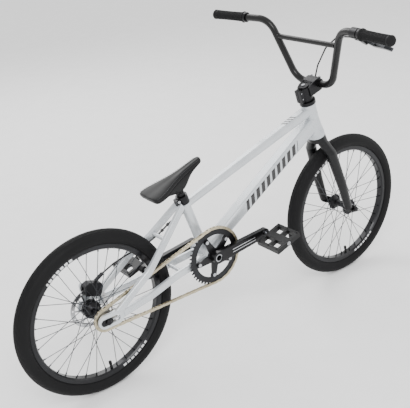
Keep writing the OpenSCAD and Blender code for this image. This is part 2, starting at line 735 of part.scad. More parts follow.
// Outline of the saddle from above: a small round nose and two wide tail corners
module saddle_outline(inset) {
    nose = saddle_l / 2 - 14;
    tail = [13 - saddle_l / 2, saddle_w / 2 - 13];
    side = 90 - atan2(tail[1], nose - tail[0]);
    polygon(concat(
        [for (k = [-6:6]) [nose, 0] + (14 - inset) * [cos(side * k / 6), sin(side * k / 6)]],
        [for (k = [0:8]) let (a = side + (180 - side) * k / 8) tail + (13 - inset) * [cos(a), sin(a)]],
        [for (k = [8:-1:0]) let (a = side + (180 - side) * k / 8)
            [tail[0], -tail[1]] + (13 - inset) * [cos(a), -sin(a)]]
    ));
}

module saddle_base() color("black") difference() {
    union() {
        saddle_frame() translate([0, 0, -18]) linear_extrude(8 - weld) saddle_outline(3);
        hull() {
            saddle_frame() translate([-20, -14, -17]) cube([62, 28, 1]);
            seat_frame() translate([0, 0, collar_low + collar_h + 1]) cylinder(r = 16.5, h = 1, $fn = 32);
        }
    }
    seat_frame() cylinder(r = post_d / 2 + weld, h = post_top + weld);
}

module saddle_cover() color("dimgray") saddle_frame() translate([0, 0, -10]) {
    linear_extrude(7) saddle_outline(0);
    translate([0, 0, 7]) linear_extrude(4) saddle_outline(3);
}

// ------------------------------------------------------------ fork and bars

// Leg stations: forward, sideways and up the steering axis, then radius
leg = [[0, 22, 284, 17], [3, 45, 245, 18], [6, 57, 110, 15.5], [8, 57, 22, 13]];
module leg_disc(p, side) translate([p[0], side * p[1], p[2]]) cylinder(r = p[3], h = 1, $fn = 32);

module fork() color("black") steering_frame() difference() {
    union() {
        hull() {
            translate([0, 0, 290]) cylinder(r = 28.5, h = head_tube_low - 291, $fn = 32);
            for (side = [-1, 1]) leg_disc(leg[0], side);
        }
        for (side = [-1, 1]) {
            for (i = [0:2]) hull() {
                leg_disc(leg[i], side);
                leg_disc(leg[i + 1], side);
            }
            xz_plate(side > 0 ? front_old / 2 : -front_old / 2 - 7, side > 0 ? front_old / 2 + 7 : -front_old / 2)
                translate([fork_offset, 0]) rotate(137) taper_outline(34, 12, 12);
        }
        cylinder_between(290, head_tube_low + bearing_seat - 0.6, crown_race_d / 2);
        cylinder_between(290, 482, steerer_d / 2);
    }
    cylinder_between(320, 490, 11.5);
    translate([fork_offset, -80, 0]) along_y() cylinder(r = axle_d / 2 + 0.1, h = 160);
}

module cylinder_between(z0, z1, r) translate([0, 0, z0]) cylinder(r = r, h = z1 - z0);

hose_port = [26, 21, head_tube_top + 6.5];

module headset_cover() color("black") steering_frame() difference() {
    union() {
        cylinder_between(head_tube_top + 0.5, head_tube_top + 12, 26);
        cylinder_between(head_tube_top + 11, 438 - weld, 19);
        rod([14, 11.3, hose_port[2]], hose_port - [0.1, 0.1, 0], 4.4);
    }
    cylinder_between(head_tube_top, 440, steerer_d / 2 + weld);
}

top_cap_r = 17;

module stem_shape() {
    cylinder_between(438, 484, 20);
    translate([-30, -12, 440]) cube([16, 24, 42]);
    translate([0, 24, 0]) rotate([90, 0, 0]) linear_extrude(48)
        polygon([[0, 452], [24, 452], [stem_reach - 0.4, clamp_height - 21], [stem_reach - 0.4, clamp_height + 21],
                 [24, clamp_height + 19], [0, 484]]);
}

module stem() color("black") steering_frame() difference() {
    stem_shape();
    cylinder_between(430, 500, steerer_d / 2 + weld);
    cylinder_between(484, 500, top_cap_r + fit);
    translate([-31, -0.8, 430]) cube([20, 1.6, 60]);
    bar_bore();
    stem_bolt_places(-30) cylinder(r = m5_r + fit, h = 60);
    rear_bolt_places() cylinder(r = m5_r + fit, h = 40, center = true);
}

module bar_bore() translate([stem_reach, -30, clamp_height]) along_y() cylinder(r = bar_d / 2 + weld, h = 60);

// Faceplate bolt places, Z running forward, from a distance behind the bar
module stem_bolt_places(back) for (y = [-17, 17], z = [-15.5, 15.5])
    translate([stem_reach + back, y, clamp_height + z]) rotate([0, 90, 0]) children();
module rear_bolt_places() for (z = [452, 472]) translate([-23, 0, z]) along_y() children();

module stem_faceplate() color("black") steering_frame() difference() {
    translate([0, 24, 0]) rotate([90, 0, 0]) linear_extrude(48)
        polygon([for (a = [-90, -60, -30, 0, 30, 60, 90])
            [stem_reach + 0.6 + 16 * cos(a), clamp_height + 21 * sin(a)]]);
    bar_bore();
    stem_bolt_places(-30) cylinder(r = m5_r + fit, h = 60);
    for (z = [-15.5, 15.5]) translate([stem_reach + 9, -30, clamp_height + z - 7]) cube([12, 60, 14]);
}

module stem_bolts() color("silver") steering_frame() {
    stem_bolt_places(-12) cylinder(r = m5_r, h = 21 + weld);
    stem_bolt_places(9 + weld) cylinder(r = 4.2, h = 4.5);
    rear_bolt_places() translate([0, 0, -11]) cylinder(r = m5_r, h = 23 + 2 * weld);
    rear_bolt_places() translate([0, 0, 12 + weld]) cylinder(r = 4.2, h = 4.5);
    cylinder_between(462, 488 + 2 * weld, m6_r);
    cylinder_between(488 + 2 * weld, 491, 5.5);
}

module stem_top_cap() color("black") steering_frame() difference() {
    union() {
        cylinder_between(484 + weld, 488, top_cap_r);
        cylinder_between(476, 485, 11.4);
    }
    cylinder_between(470, 492, m6_r + fit);
}

// Corners of the handlebar in its own plane, right end first
function bar_end(side, l) = [0, side * bar_top_half, bar_rise]
    + l * rot_z(rot_x([0, side, 0], side * bar_upsweep), side * bar_sweep);
function bar_corners(extra) = [
    bar_end(-1, bar_end_l + extra), [0, -bar_top_half, bar_rise], [0, -bar_low_half, 0],
    [0, bar_low_half, 0], [0, bar_top_half, bar_rise], bar_end(1, bar_end_l + extra)
];
bar_bends = [bar_bend_r, bar_low_bend_r, bar_low_bend_r, bar_bend_r];
crossbar_half = bar_low_half + crossbar_at * (bar_top_half - bar_low_half);

module crossbar(r) rod([0, -crossbar_half, crossbar_at * bar_rise], [0, crossbar_half, crossbar_at * bar_rise], r);

module handlebar() color("black") bar_frame() difference() {
    union() {
        pipe(bar_corners(0), bar_bends, bar_d / 2);
        crossbar(crossbar_d / 2);
    }
    pipe(bar_corners(eps), bar_bends, bar_d / 2 - bar_wall);
    crossbar(crossbar_d / 2 - bar_wall);
}

module grip(side) bar_end_frame(side) difference() {
    rotate_extrude() polygon([
        [0, grip_start + weld], [grip_d / 2 + 3, grip_start + weld], [grip_d / 2 + 3, grip_start + 3],
        [grip_d / 2, grip_start + 5], [grip_d / 2 - 0.8, bar_end_l - 60], [grip_d / 2, bar_end_l - 6],
        [grip_d / 2 + 1, bar_end_l], [grip_d / 2 - 2, bar_end_l + 4], [0, bar_end_l + 4]
    ]);
    cylinder(r = bar_d / 2 + weld, h = bar_end_l + weld);
}

module grip_left() color("black") grip(1);
module grip_right() color("black") grip(-1);

module grip_collars() color("dimgray") for (side = [-1, 1]) bar_end_frame(side)
    translate([0, 0, grip_start - 10]) ring(16, bar_d / 2 + weld, 10);

module lever_frame() bar_end_frame(-1) rotate([0, 0, lever_drop]) children();
barrel = [28, 9];                // distance of the lever's cylinder from the bar, and its radius

module brake_lever_body() color("black") lever_frame() difference() {
    union() {
        translate([0, 0, lever_at - 12]) cylinder(r = 16, h = 28);
        translate([barrel[0], 0, lever_at - 22]) cylinder(r = barrel[1], h = 40);
        translate([8, -8, lever_at - 8]) cube([barrel[0] - 8, 16, 22]);
        for (y = [-9.5, 5.3]) translate([0, y + 4.2, 0]) rotate([90, 0, 0]) linear_extrude(4.2)
            polygon([[barrel[0], 66], [40, 70], [47, 76], [47, 84], [42, 88], [barrel[0], 88]]);
        translate([pivot[0], -8, pivot[2]]) along_y() cylinder(r = m5_r, h = 16);
    }
    cylinder(r = bar_d / 2 + weld, h = 200);
    translate([barrel[0] + barrel[1] - 4, -5.3, lever_at - 1]) cube([30, 10.6, 30]);
}

module lever_blade() color("silver") lever_frame() difference() {
    union() {
        translate([0, 4.8, 0]) rotate([90, 0, 0]) linear_extrude(9.6) {
            translate([pivot[0], pivot[2]]) rotate(48) stadium(26, 5.2);
            translate([pivot[0] + 17.4, pivot[2] + 19.3]) rotate(90) stadium(46, 4.6);
            translate([pivot[0] + 17.4, pivot[2] + 65.3]) rotate(78) stadium(22, 4.4);
        }
    }
    translate([pivot[0], -20, pivot[2]]) along_y() cylinder(r = m5_r + fit, h = 40);
}

module brake_hose_front() color("black") steering_frame() pipe([
    lever_pt([barrel[0], 0, lever_at - 22.1]), [80, -112, 629], [80, -50, 583], [80, 5, 514],
    [79, 29, 468], [62, 32, 440], hose_port
], [50, 60, 60, 60, 25, 25], hose_d / 2);

module front_axle() color("black") front_wheel_place() along_y() rotate_extrude() {
    r = axle_d / 2;
    half = front_old / 2;
    polygon([
        [0, -half - 20], [6.5, -half - 20], [8.5, -half - 16], [8.5, -half - 7.2], [r, -half - 7.2],
        [r, -half + weld], [8, -half + weld], [8, -hub_end_front - 0.1], [r, -hub_end_front - 0.1],
        [r, hub_end_front + 0.1], [8, hub_end_front + 0.1], [8, half - weld], [r, half - weld],
        [r, half + 7.2], [8.5, half + 7.2], [8.5, half + 15], [0, half + 15]
    ]);
}

// ----------------------------------------------------------------- wheels

module tyre() color("dimgray") along_y() rotate_extrude($fn = 96) difference() {
    union() {
        intersection() {
            translate([tyre_c, 0]) circle(r = tyre_w / 2);
            translate([bead_r + flange_h + 0.4, -tyre_w]) square(2 * tyre_w);
        }
        translate([bead_r + weld, -rim_in]) square([flange_h + 3, 2 * rim_in]);
    }
    translate([tyre_c, 0]) circle(r = tyre_w / 2 - tyre_wall);
    translate([bead_r - eps, 2.6 - rim_in]) square([flange_h + 6, 2 * rim_in - 5.2]);
}

module inner_tube() color("black") {
    tube_r = tyre_w / 2 - tyre_wall - 0.4;
    along_y() rotate_extrude($fn = 96) translate([tyre_c, 0]) difference() {
        circle(r = tube_r);
        circle(r = tube_r - 0.9);
    }
    rotate([0, -valve_angle, 0]) translate([rim_in_r - 22, 0, 0]) rotate([0, 90, 0])
        cylinder(r = 4, h = tyre_c - tube_r - rim_in_r + 22.5);
}

module rim() color("black") difference() {
    along_y() rotate_extrude($fn = 96) difference() {
        polygon([
            [rim_in_r, -rim_w / 2 + 4.5], [rim_in_r + 3.6, -rim_w / 2], [bead_r + flange_h, -rim_w / 2],
            [bead_r + flange_h, -rim_seat], [bead_r, -rim_seat], [bead_r, 5 - rim_seat],
            [bead_r - 1.5, 7.5 - rim_seat], [bead_r - 1.5, rim_seat - 7.5], [bead_r, rim_seat - 5],
            [bead_r, rim_seat], [bead_r + flange_h, rim_seat], [bead_r + flange_h, rim_w / 2],
            [rim_in_r + 3.6, rim_w / 2], [rim_in_r, rim_w / 2 - 4.5]
        ]);
        polygon([
            [rim_in_r + rim_wall, -rim_w / 2 + 5.3], [rim_in_r + 4.4, -rim_seat], [bead_r - 3.1, 1 - rim_seat],
            [bead_r - 3.1, rim_seat - 1], [rim_in_r + 4.4, rim_seat], [rim_in_r + rim_wall, rim_w / 2 - 5.3]
        ]);
    }
    children();
    rotate([0, -valve_angle, 0]) translate([rim_in_r - 5, 0, 0]) rotate([0, 90, 0]) cylinder(r = 4.25, h = 20);
}

// Spoke ends: the hub hole and the nipple seat, for spoke i on one side
spoke_step = 720 / spoke_n;
function polar(r, a, y) = [r * cos(a), y, r * sin(a)];
function spoke_a(side, i) = i * spoke_step + (side > 0 ? spoke_step / 2 : 0);
function hub_end_of(side, i, flange) = polar(hub_hole_r, spoke_a(side, i),
    side * (flange + (i % 2 == 0 ? 1 : -1) * (hub_flange_t / 2 + spoke_d / 2 + 0.2)));
function rim_end_of(side, i) = polar(rim_in_r + 4.1,
    spoke_a(side, i) + (i % 2 == 0 ? 1 : -1) * spoke_cross * spoke_step, side * 1.5);

module nipple(side, i, flange, r, out) {
    p = hub_end_of(side, i, flange);
    q = rim_end_of(side, i);
    rod(q - 12 * unit(q - p), q + out * unit(q - p), r);
}

module all_nipples(left, right, r, out) for (i = [0:spoke_n / 2 - 1]) {
    nipple(1, i, left, r, out);
    nipple(-1, i, right, r, out);
}

module spoke(side, i, flange) {
    p = hub_end_of(side, i, flange);
    q = rim_end_of(side, i);
    far = side * (i % 2 == 0 ? 1 : -1) * (hub_flange_t + spoke_d + 1);
    rod(p, q - 6 * unit(q - p), spoke_d / 2);
    rod(p + [0, 0.1 * far, 0], p - [0, far, 0], spoke_d / 2 + 0.04);
    rod(p - [0, far, 0], p - [0, 0.8 * far, 0], spoke_d);
}

module spokes(left, right) color("black") {
    for (i = [0:spoke_n / 2 - 1]) {
        spoke(1, i, left);
        spoke(-1, i, right);
    }
    all_nipples(left, right, nipple_d / 2, 0);
}

// Hub shell between its ends, with both flanges drilled for the spokes
module hub(end_left, end_right, left, right) color("black") difference() {
    along_y() rotate_extrude() {
        half_t = hub_flange_t / 2;
        polygon([
            [bearing_r, -end_right], [hub_end_r, -end_right], [hub_end_r, -right - half_t],
            [hub_hole_r, -right - half_t], [hub_flange_r, flange_bevel - right - half_t],
            [hub_flange_r, half_t - right], [flange_root_r, half_t - right], [barrel_r, 10 - right],
            [barrel_r, left - 10], [flange_root_r, left - half_t], [hub_flange_r, left - half_t],
            [hub_flange_r, left + half_t - flange_bevel], [hub_hole_r, left + half_t],
            [hub_end_r, left + half_t], [hub_end_r, end_left], [bearing_r, end_left],
            [bearing_r, end_left - bearing_w], [8, end_left - bearing_w],
            [8, bearing_w - end_right], [bearing_r, bearing_w - end_right]
        ]);
    }
    for (i = [0:spoke_n / 2 - 1]) {
        hub_hole(1, i, left);
        hub_hole(-1, i, right);
    }
}

module hub_hole(side, i, flange) translate(polar(hub_hole_r, spoke_a(side, i), side * flange - 3)) along_y()
    cylinder(r = spoke_d / 2 + 0.2, h = 6);

module hub_bearings(end_left, end_right) color("silver") for (y = [-end_right, end_left - bearing_w])
    translate([0, y, 0]) along_y() ring(bearing_r - weld, axle_d / 2 + fit, bearing_w);

module front_tyre() front_wheel_place() tyre();
module front_inner_tube() front_wheel_place() inner_tube();
module front_rim() front_wheel_place() rim() all_nipples(front_flange, front_flange, nipple_d / 2 + 0.2, 4);
module front_spokes() front_wheel_place() spokes(front_flange, front_flange);
module front_hub() front_wheel_place() hub(hub_end_front, hub_end_front, front_flange, front_flange);
module front_hub_bearings() front_wheel_place() hub_bearings(hub_end_front, hub_end_front);

module rear_tyre() rear_wheel_place() tyre();
module rear_inner_tube() rear_wheel_place() inner_tube();
module rear_rim() rear_wheel_place() rim()
    all_nipples(rear_flange_left, rear_flange_right, nipple_d / 2 + 0.2, 4);
module rear_spokes() rear_wheel_place() spokes(rear_flange_left, rear_flange_right);
module rear_hub_bearings() rear_wheel_place() hub_bearings(hub_end_left, hub_end_right);

module rear_hub() color("black") rear_wheel_place() difference() {
    union() {
        hub(hub_end_left, hub_end_right, rear_flange_left, rear_flange_right);
        translate([0, rear_flange_left + 8, 0]) along_y()
            ring(rotor_bolt_r + 4, bearing_r + 1, rotor_y - rotor_t / 2 - rear_flange_left - 8 - weld);
        translate([0, rear_flange_left, 0]) along_y()
            ring(rotor_spigot_r, bearing_r + 1, hub_end_left - rear_flange_left);
    }
    translate([0, rotor_y - rotor_t / 2, 0]) along_y() rotor_bolt_circle()
        translate([0, 0, -7.5]) cylinder(r = m5_r + fit, h = 8);
}

// ------------------------------------------------------------- crank and cog

module crank_arm(side) {
    y0 = side > 0 ? arm_in : -arm_in - arm_t;
    y1 = side > 0 ? eye_in : -eye_in - arm_t;
    hull() {
        translate([0, y0, 0]) along_y() cylinder(r = 19, h = arm_t, $fn = 32);
        translate([side * -crank_l, y1, 0]) along_y() cylinder(r = 14, h = arm_t, $fn = 32);
    }
}

module eye_bore(side) translate([side * -crank_l, side > 0 ? eye_in - 5 : -eye_in - arm_t - 5, 0]) along_y()
    cylinder(r = 7 + weld, h = arm_t + 10);

spider_t = 4.5;
spider_y = chainline + ring_t / 2;   // face of the spider that the chainring bolts to

module ring_bolt_circle() for (i = [0:4]) rotate(i * 72 + 36) translate([ring_bolt_r, 0]) children();

// Hole through both arms that the spindle is pressed into
module spindle_seat() translate([0, -arm_in - 2 * arm_t, 0]) along_y()
    cylinder(r = spindle_d / 2 + weld, h = 2 * arm_in + 4 * arm_t);

module crank_arm_right() color("black") crank_place() difference() {
    union() {
        crank_arm(-1);
        translate([0, -arm_in, 0]) along_y() cylinder(r = 19, h = 6);
        translate([0, -spider_y - spider_t, 0]) along_y() linear_extrude(spider_t - weld)
            for (i = [0:4]) rotate(i * 72 + 36) taper_outline(ring_bolt_r, 15, 8);
    }
    spindle_seat();
    translate([0, -spider_y - spider_t - eps, 0]) along_y() linear_extrude(10)
        ring_bolt_circle() circle(r = 4 + fit);
    eye_bore(-1);
}

module crank_arm_left() color("black") crank_place() difference() {
    crank_arm(1);
    spindle_seat();
    eye_bore(1);
}

module chainring() color("black") translate([bb_x, -chainline - ring_t / 2, bb_z])
    along_y() linear_extrude(ring_t) difference() {
        union() {
            difference() {
                rotate(-ring_start) polygon(sprocket(ring_teeth, ring_r, seat_r, ring_r + tooth_h));
                circle(r = 68, $fn = 96);
            }
            rotate(-crank_angle) ring_bolt_circle() {
                circle(r = 9);
                translate([0, -9]) square([14, 18]);
            }
        }
        rotate(-crank_angle) ring_bolt_circle() circle(r = 4 + fit);
    }

module chainring_bolts() color("silver") crank_place() translate([0, -chainline, 0]) along_y() ring_bolt_circle() {
    translate([0, 0, -ring_t / 2 - spider_t - 1]) cylinder(r = 4, h = ring_t + spider_t + 2);
    translate([0, 0, ring_t / 2 + weld]) cylinder(r = 5.5, h = 1.6);
    translate([0, 0, -ring_t / 2 - spider_t - 1.6 - weld]) cylinder(r = 5.5, h = 1.6);
}

// The hollow spindle, from arm to arm, and the two pedal axles
module crank_axles() color("silver") crank_place() {
    translate([0, -arm_in - arm_t, 0]) along_y() ring(spindle_d / 2, spindle_bore_r, 2 * (arm_in + arm_t));
    for (side = [-1, 1]) translate([side * -crank_l, 0, 0]) rotate([side * -90, 0, 0]) rotate_extrude()
        polygon([
            [0, eye_in + 1], [7, eye_in + 1], [7, eye_in + arm_t + weld], [8.5, eye_in + arm_t + weld],
            [8.5, pedal_in - 6], [pedal_axle_r, pedal_in - 6], [pedal_axle_r, pedal_in + pedal_w - 3.5],
            [6.5, pedal_in + pedal_w - 3.5], [6.5, pedal_in + pedal_w - 0.5], [0, pedal_in + pedal_w - 0.5]
        ]);
}

// Pedal platform about its own axle, Y running outward
module pedal_shape() difference() {
    half = pedal_l / 2;
    union() {
        translate([-half, 0, -pedal_t / 2]) cube([pedal_l, pedal_w, pedal_t]);
        for (x = [-half + 5, half - 5], y = [8, pedal_w / 2, pedal_w - 8])
            translate([x, y, -pedal_t / 2 - 3.5]) cylinder(r = 1.6, h = pedal_t + 7);
    }
    for (side = [-1, 1], y = [10, pedal_w / 2 + 4])
        translate([side > 0 ? 13 : -half + 10, y, -pedal_t]) cube([half - 23, pedal_w / 2 - 14, 2 * pedal_t]);
    translate([0, -eps, 0]) along_y() cylinder(r = pedal_axle_r + fit + 0.01, h = pedal_w + 2 * eps);
    translate([0, pedal_w - 4, 0]) along_y() cylinder(r = 7, h = 6);
}

module pedal_left() color("black") translate([2 * bb_x - pedal_x, pedal_in, 2 * bb_z - pedal_z])
    rotate([0, -pedal_tilt, 0]) pedal_shape();
module pedal_right() color("black") translate([pedal_x, -pedal_in, pedal_z])
    rotate([0, -pedal_tilt, 0]) rotate([0, 0, 180]) pedal_shape();

module cog() color("silver") rear_wheel_place() difference() {
    union() {
        translate([0, -chainline - ring_t / 2, 0]) along_y() linear_extrude(ring_t)
            rotate(-ring_start - cog_first * 360 / cog_teeth)
                polygon(sprocket(cog_teeth, cog_r, seat_r, cog_r + tooth_h));
        translate([0, -chainline - 6.4, 0]) along_y() cylinder(r = 21, h = 12.4);
    }
    translate([0, -chainline - 10, 0]) along_y() cylinder(r = axle_d / 2 + fit, h = 20);
}

head_tube();
top_tube();
down_tube();
seat_tube();
bottom_bracket_shell();
chainstays();
seatstays();
dropout_left();
dropout_right();
seat_collar();
frame_bolts();
headset_bearings();
bottom_bracket_cups();
axle_adjusters();
rear_axle();
chain();
brake_caliper();
brake_hose_rear();
hose_clips();
seatpost();
saddle_base();
saddle_cover();
fork();
headset_cover();
stem();
stem_faceplate();
stem_bolts();
stem_top_cap();
handlebar();
grip_left();
grip_right();
grip_collars();
brake_lever_body();
brake_hose_front();
front_axle();
lever_blade();
front_tyre();
front_inner_tube();
front_rim();
front_spokes();
front_hub();
front_hub_bearings();
rear_tyre();
rear_inner_tube();
rear_rim();
rear_spokes();
rear_hub();
rear_hub_bearings();
brake_rotor();
rotor_bolts();
crank_arm_right();
crank_arm_left();
chainring();
chainring_bolts();
crank_axles();
pedal_left();
pedal_right();
cog();
brake_pad_left();
brake_pad_right();
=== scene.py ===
import bpy
from math import cos, pi, radians, sin
from mathutils import Matrix, Vector


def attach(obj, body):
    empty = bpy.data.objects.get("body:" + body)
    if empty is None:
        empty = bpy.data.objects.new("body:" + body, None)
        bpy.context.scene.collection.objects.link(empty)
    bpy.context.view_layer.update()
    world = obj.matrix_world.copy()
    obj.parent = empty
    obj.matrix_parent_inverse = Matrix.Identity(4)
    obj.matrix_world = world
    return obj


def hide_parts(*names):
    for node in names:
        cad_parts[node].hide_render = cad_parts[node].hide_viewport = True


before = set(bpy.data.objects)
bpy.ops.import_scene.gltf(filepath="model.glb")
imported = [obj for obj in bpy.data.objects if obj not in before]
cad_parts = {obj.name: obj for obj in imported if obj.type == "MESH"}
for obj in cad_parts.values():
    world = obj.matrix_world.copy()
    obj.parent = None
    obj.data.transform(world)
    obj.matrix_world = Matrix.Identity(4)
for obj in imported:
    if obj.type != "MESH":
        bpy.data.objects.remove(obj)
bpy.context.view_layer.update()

# ---------------------------------------------------------------- the studio
# A pale paper floor, a white surround and three soft lights. The camera looks
# down from behind the right side of the bike, from above the bar ends.

camera_place = Vector((-1.3051, -1.7039, 1.3780))
camera_turn, camera_drop, camera_roll = radians(-35.61), radians(24.64), radians(-5.28)
look = Vector((-sin(camera_turn) * cos(camera_drop), cos(camera_turn) * cos(camera_drop), -sin(camera_drop)))
level = look.cross(Vector((0, 0, 1))).normalized()
upright = level.cross(look)
across = level * cos(camera_roll) + upright * sin(camera_roll)
above = -level * sin(camera_roll) + upright * cos(camera_roll)

lens = bpy.data.cameras.new("studio_camera")
lens.lens = 67.97
lens.sensor_width = 36
lens.shift_x, lens.shift_y = -0.0040, 0.0211
lens.clip_end = 60
camera = bpy.data.objects.new("studio_camera", lens)
camera.matrix_world = Matrix.Translation(camera_place) @ Matrix((across, above, -look)).transposed().to_4x4()
bpy.context.scene.collection.objects.link(camera)
bpy.context.scene.camera = camera


def linear(hexa):
    """An sRGB hex colour as the linear colour that a shader takes."""
    parts = [int(hexa[i:i + 2], 16) / 255 for i in (0, 2, 4)]
    return [p / 12.92 if p <= 0.04045 else ((p + 0.055) / 1.055) ** 2.4 for p in parts] + [1]


def add(mat, kind, links=None, **settings):
    """Adds one shader node. links holds numbers, colours or sockets, by input name or place."""
    made = mat.node_tree.nodes.new("ShaderNode" + kind)
    for key, value in settings.items():
        setattr(made, key, value)
    for key, value in (links or {}).items():
        if isinstance(value, bpy.types.NodeSocket):
            mat.node_tree.links.new(value, made.inputs[key])
        else:
            made.inputs[key].default_value = value
    return made


def new_finish(name, sockets):
    """A material with its shader's own sockets set, that shader, and the place on the piece."""
    mat = bpy.data.materials.new(name)
    mat.use_nodes = True
    shader = mat.node_tree.nodes["Principled BSDF"]
    for key, value in sockets.items():
        shader.inputs[key].default_value = value
    return mat, shader, add(mat, "TexCoord").outputs["Object"]


def mixed(mat, factor, under, over):
    """One colour or socket laid over another where factor is 1."""
    made = add(mat, "Mix", data_type="RGBA")
    mat.node_tree.links.new(factor, made.inputs[0])
    for place, value in ((6, under), (7, over)):
        if isinstance(value, bpy.types.NodeSocket):
            mat.node_tree.links.new(value, made.inputs[place])
        else:
            made.inputs[place].default_value = value
    return made.outputs[2]


def grain(mat, shader, place, size_mm, colours, roughness, depth_mm=0.0):
    """Colour, roughness and relief that vary with a grain of that real size, and drift slowly."""
    link = mat.node_tree.links.new
    fine = add(mat, "TexNoise", {"Vector": place, "Scale": 1000 / size_mm, "Detail": 5, "Roughness": 0.6})
    fine = fine.outputs[0]
    drift = add(mat, "TexNoise", {"Vector": place, "Scale": 9, "Detail": 3}).outputs[0]
    both = add(mat, "Math", {0: fine, 1: drift}, operation="ADD").outputs[0]
    share = add(mat, "MapRange", {"Value": both, "From Min": 0.75, "From Max": 1.25}).outputs[0]
    rough = add(mat, "MapRange", {"Value": share, "To Min": roughness[0], "To Max": roughness[1]}).outputs[0]
    tint = mixed(mat, share, linear(colours[0]), linear(colours[1]))
    link(rough, shader.inputs["Roughness"])
    link(tint, shader.inputs["Base Color"])
    if depth_mm:
        bump = add(mat, "Bump", {"Height": fine, "Distance": depth_mm / 1000, "Strength": 0.6})
        link(bump.outputs[0], shader.inputs["Normal"])
    return tint


# The paper is uncoated and almost shadowless, with a faint mottle.
paper, paper_shader, paper_place = new_finish("matt white studio paper", {"Specular IOR Level": 0.1})
grain(paper, paper_shader, paper_place, 2, ("f7f7f7", "fbfbfb"), (0.9, 0.95))
bpy.ops.mesh.primitive_plane_add(size=24, location=(0, 0, 0))
floor_sheet = bpy.context.object
floor_sheet.name = "studio_floor"
floor_sheet.data.materials.append(paper)

sky = bpy.data.worlds.new("white_surround")
bpy.context.scene.world = sky
sky.use_nodes = True
sky.node_tree.nodes["Background"].inputs["Color"].default_value = linear("ffffff")
sky.node_tree.nodes["Background"].inputs["Strength"].default_value = 1.35

for light_name, place, watts, width in (("soft_key", (-1.6, -2.2, 3.0), 85, 1.6),
                                        ("soft_fill", (2.6, -1.4, 2.0), 20, 2.0),
                                        ("soft_back", (0.6, 2.8, 2.6), 60, 2.0)):
    light = bpy.data.lights.new(light_name, "AREA")
    light.energy, light.size = watts, width
    lamp = bpy.data.objects.new(light_name, light)
    lamp.location = place
    lamp.rotation_euler = (Vector((0, 0, 0.4)) - Vector(place)).to_track_quat("-Z", "Y").to_euler()
    bpy.context.scene.collection.objects.link(lamp)

# ------------------------------------------------------------- painted frame
# Butted aluminium tubes, welded at the head, seat and bottom bracket, then
# sprayed pearl white under a clear lacquer. Flat black bars are masked on.

head_slope = radians(74)
wheelbase, axle_height, fork_offset = 0.982, 0.2485, 0.031
steer_foot = Vector((wheelbase / 2 - fork_offset * sin(head_slope), 0,
                     axle_height - fork_offset * cos(head_slope)))
steer_up = Vector((-cos(head_slope), 0, sin(head_slope)))
steer_front = Vector((sin(head_slope), 0, cos(head_slope)))
left = Vector((0, 1, 0))


def steer_point(forward, side, up):
    """A place on the steering axis's own frame, in mm, as a place on the bike."""
    return steer_foot + steer_front * forward / 1000 + left * side / 1000 + steer_up * up / 1000


def dress(mat, *names, edge_mm=0.0):
    """Gives CAD pieces their finish, and rounds their sharp edges a little."""
    for name in names:
        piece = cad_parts[name]
        for s in piece.material_slots:
            s.link = "OBJECT"
            s.material = mat
        if edge_mm:
            rounded = piece.modifiers.new("worn_edges", "BEVEL")
            rounded.width = edge_mm / 1000
            rounded.segments = 2
            rounded.limit_method = "ANGLE"
            rounded.angle_limit = radians(35)
            rounded.use_clamp_overlap = True


def window(mat, value, low, high):
    """1 where value lies between low and high, else 0."""
    over = add(mat, "Math", {0: value, 1: low}, operation="GREATER_THAN").outputs[0]
    under = add(mat, "Math", {0: value, 1: high}, operation="LESS_THAN").outputs[0]
    return add(mat, "Math", {0: over, 1: under}, operation="MULTIPLY").outputs[0]


def along(mat, place, start, direction):
    """Distance from start along a direction, in metres."""
    moved = add(mat, "VectorMath", {0: place, 1: start}, operation="SUBTRACT").outputs[0]
    return add(mat, "VectorMath", {0: moved, 1: direction}, operation="DOT_PRODUCT").outputs["Value"]


def slanted_bars(mat, place, start, direction, across_tube, span, half_height, period, share, slant):
    """1 on a row of slanted bars along a tube."""
    s = along(mat, place, start, direction)
    t = along(mat, place, start, across_tube)
    leaning = add(mat, "Math", {0: t, 1: slant, 2: s}, operation="MULTIPLY_ADD").outputs[0]
    step = add(mat, "Math", {0: leaning, 1: period}, operation="DIVIDE").outputs[0]
    part = add(mat, "Math", {0: step}, operation="FRACT").outputs[0]
    bar = add(mat, "Math", {0: part, 1: share}, operation="LESS_THAN").outputs[0]
    reach = window(mat, leaning, span[0], span[1])
    high = window(mat, t, -half_height, half_height)
    out = add(mat, "Math", {0: bar, 1: reach}, operation="MULTIPLY").outputs[0]
    return add(mat, "Math", {0: out, 1: high}, operation="MULTIPLY").outputs[0]


def pearl(name, bars=()):
    """Pearl white lacquer. A fine flake gives a soft sparkle and a grey drift, and the coat a clear gloss."""
    mat, shader, place = new_finish(name, {"Metallic": 0.35, "Coat Weight": 0.6, "Coat Roughness": 0.06})
    tint = grain(mat, shader, place, 0.8, ("b4b9be", "cdd1d4"), (0.22, 0.34))
    for row in bars:
        mask = slanted_bars(mat, place, *row)
        tint = mixed(mat, mask, tint, linear("08080a"))
        mat.node_tree.links.new(tint, shader.inputs["Base Color"])
    return mat


